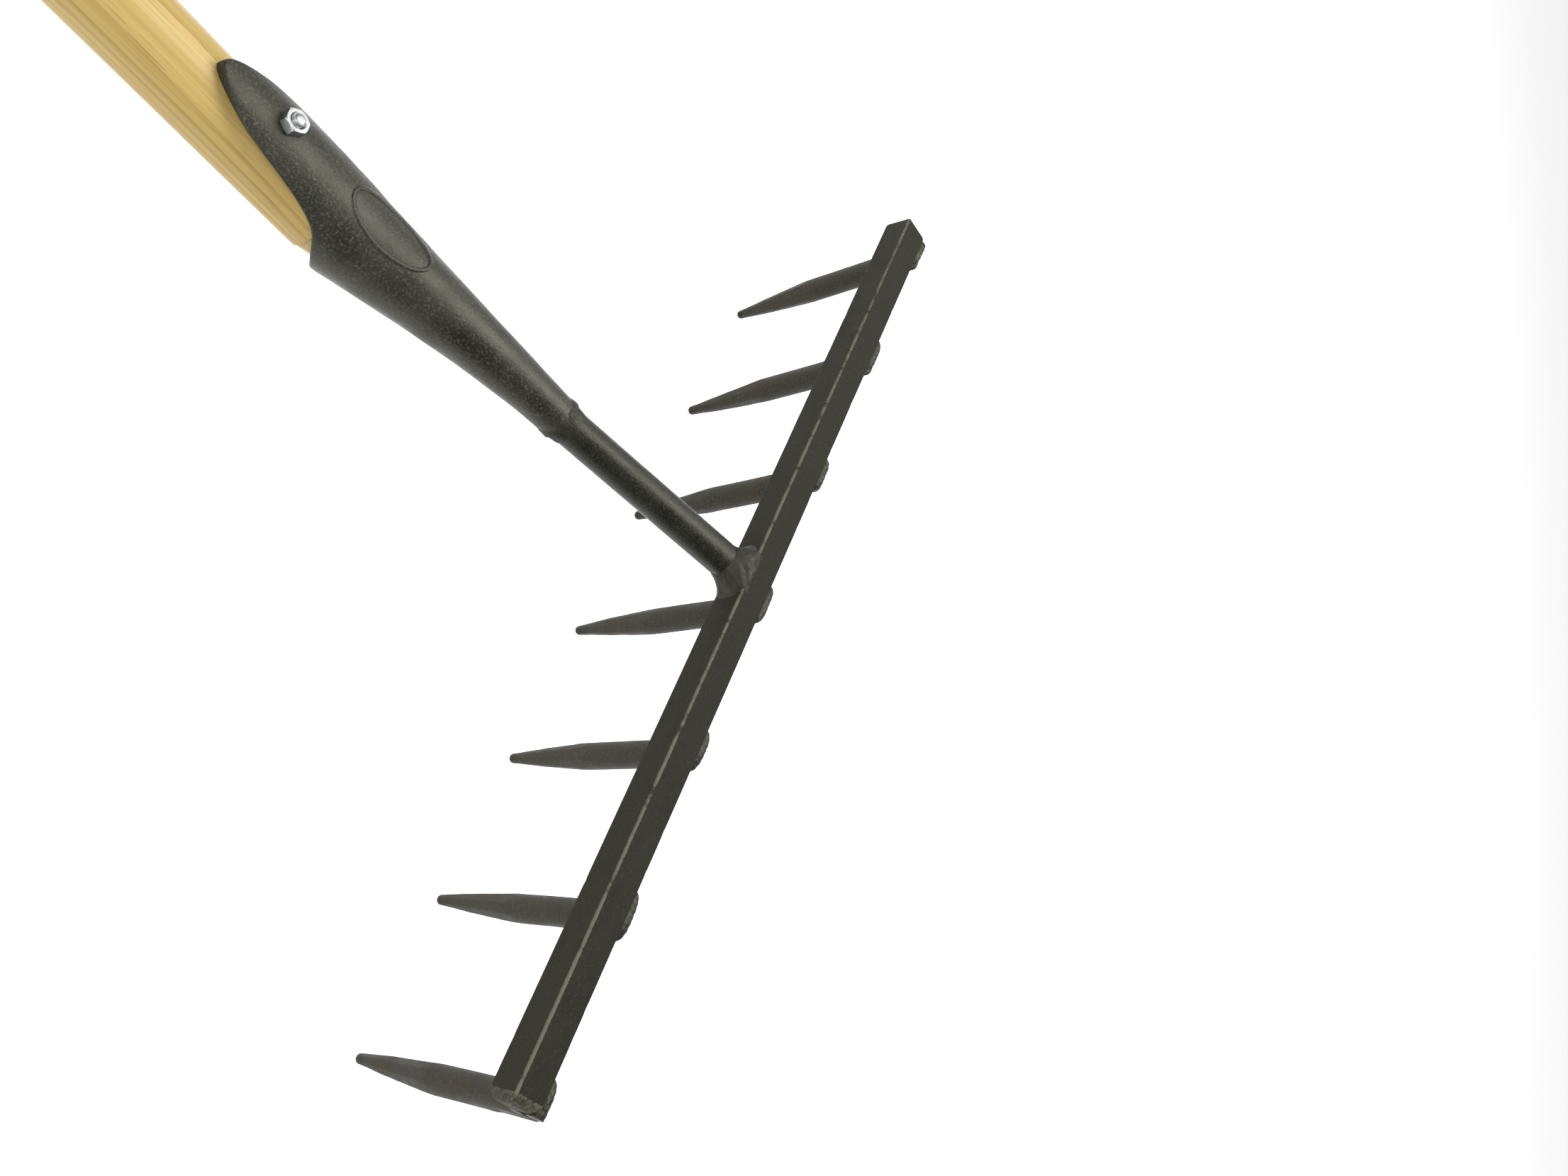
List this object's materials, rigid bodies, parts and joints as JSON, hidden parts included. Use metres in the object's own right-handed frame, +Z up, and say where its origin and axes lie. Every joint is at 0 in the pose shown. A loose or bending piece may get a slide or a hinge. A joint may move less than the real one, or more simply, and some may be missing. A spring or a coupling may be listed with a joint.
{
  "type": "garden rake",
  "caption": "Heavy garden rake: round tines welded to a square bar, a round welded neck, and a forged socket with a tongue bolted to a straight ash handle.",
  "frame": {"origin": "centre of the hanging hole, on the handle's axis", "axes": "+X along the handle from the head towards its free end, +Y along the tine bar, +Z up, with the tines pointing down"},
  "size_m": [1.4352, 0.561, 0.17],
  "materials": {
    "ash_wood": "sanded, lightly lacquered",
    "forged_steel": "black, thin satin coating over forged scale",
    "bar_steel": "black satin coating, worn along its edges",
    "tine_steel": "black satin coating, browner towards the points",
    "weld_metal": "rippled weld bead under a thin black coating",
    "zinc_plate": "bright zinc plate"
  },
  "bodies": {
    "root": {"handle": "ash_wood", "socket": "forged_steel", "bolt": "zinc_plate", "nut": "zinc_plate", "neck": "forged_steel", "neck_weld": "weld_metal", "bar": "bar_steel", "bar_weld": "weld_metal", "tine_1": "tine_steel", "tine_2": "tine_steel", "tine_3": "tine_steel", "tine_4": "tine_steel", "tine_5": "tine_steel", "tine_6": "tine_steel", "tine_7": "tine_steel", "tine_weld_1": "weld_metal", "tine_weld_2": "weld_metal", "tine_weld_3": "weld_metal", "tine_weld_4": "weld_metal", "tine_weld_5": "weld_metal", "tine_weld_6": "weld_metal", "tine_weld_7": "weld_metal"}
  },
  "joints": []
}
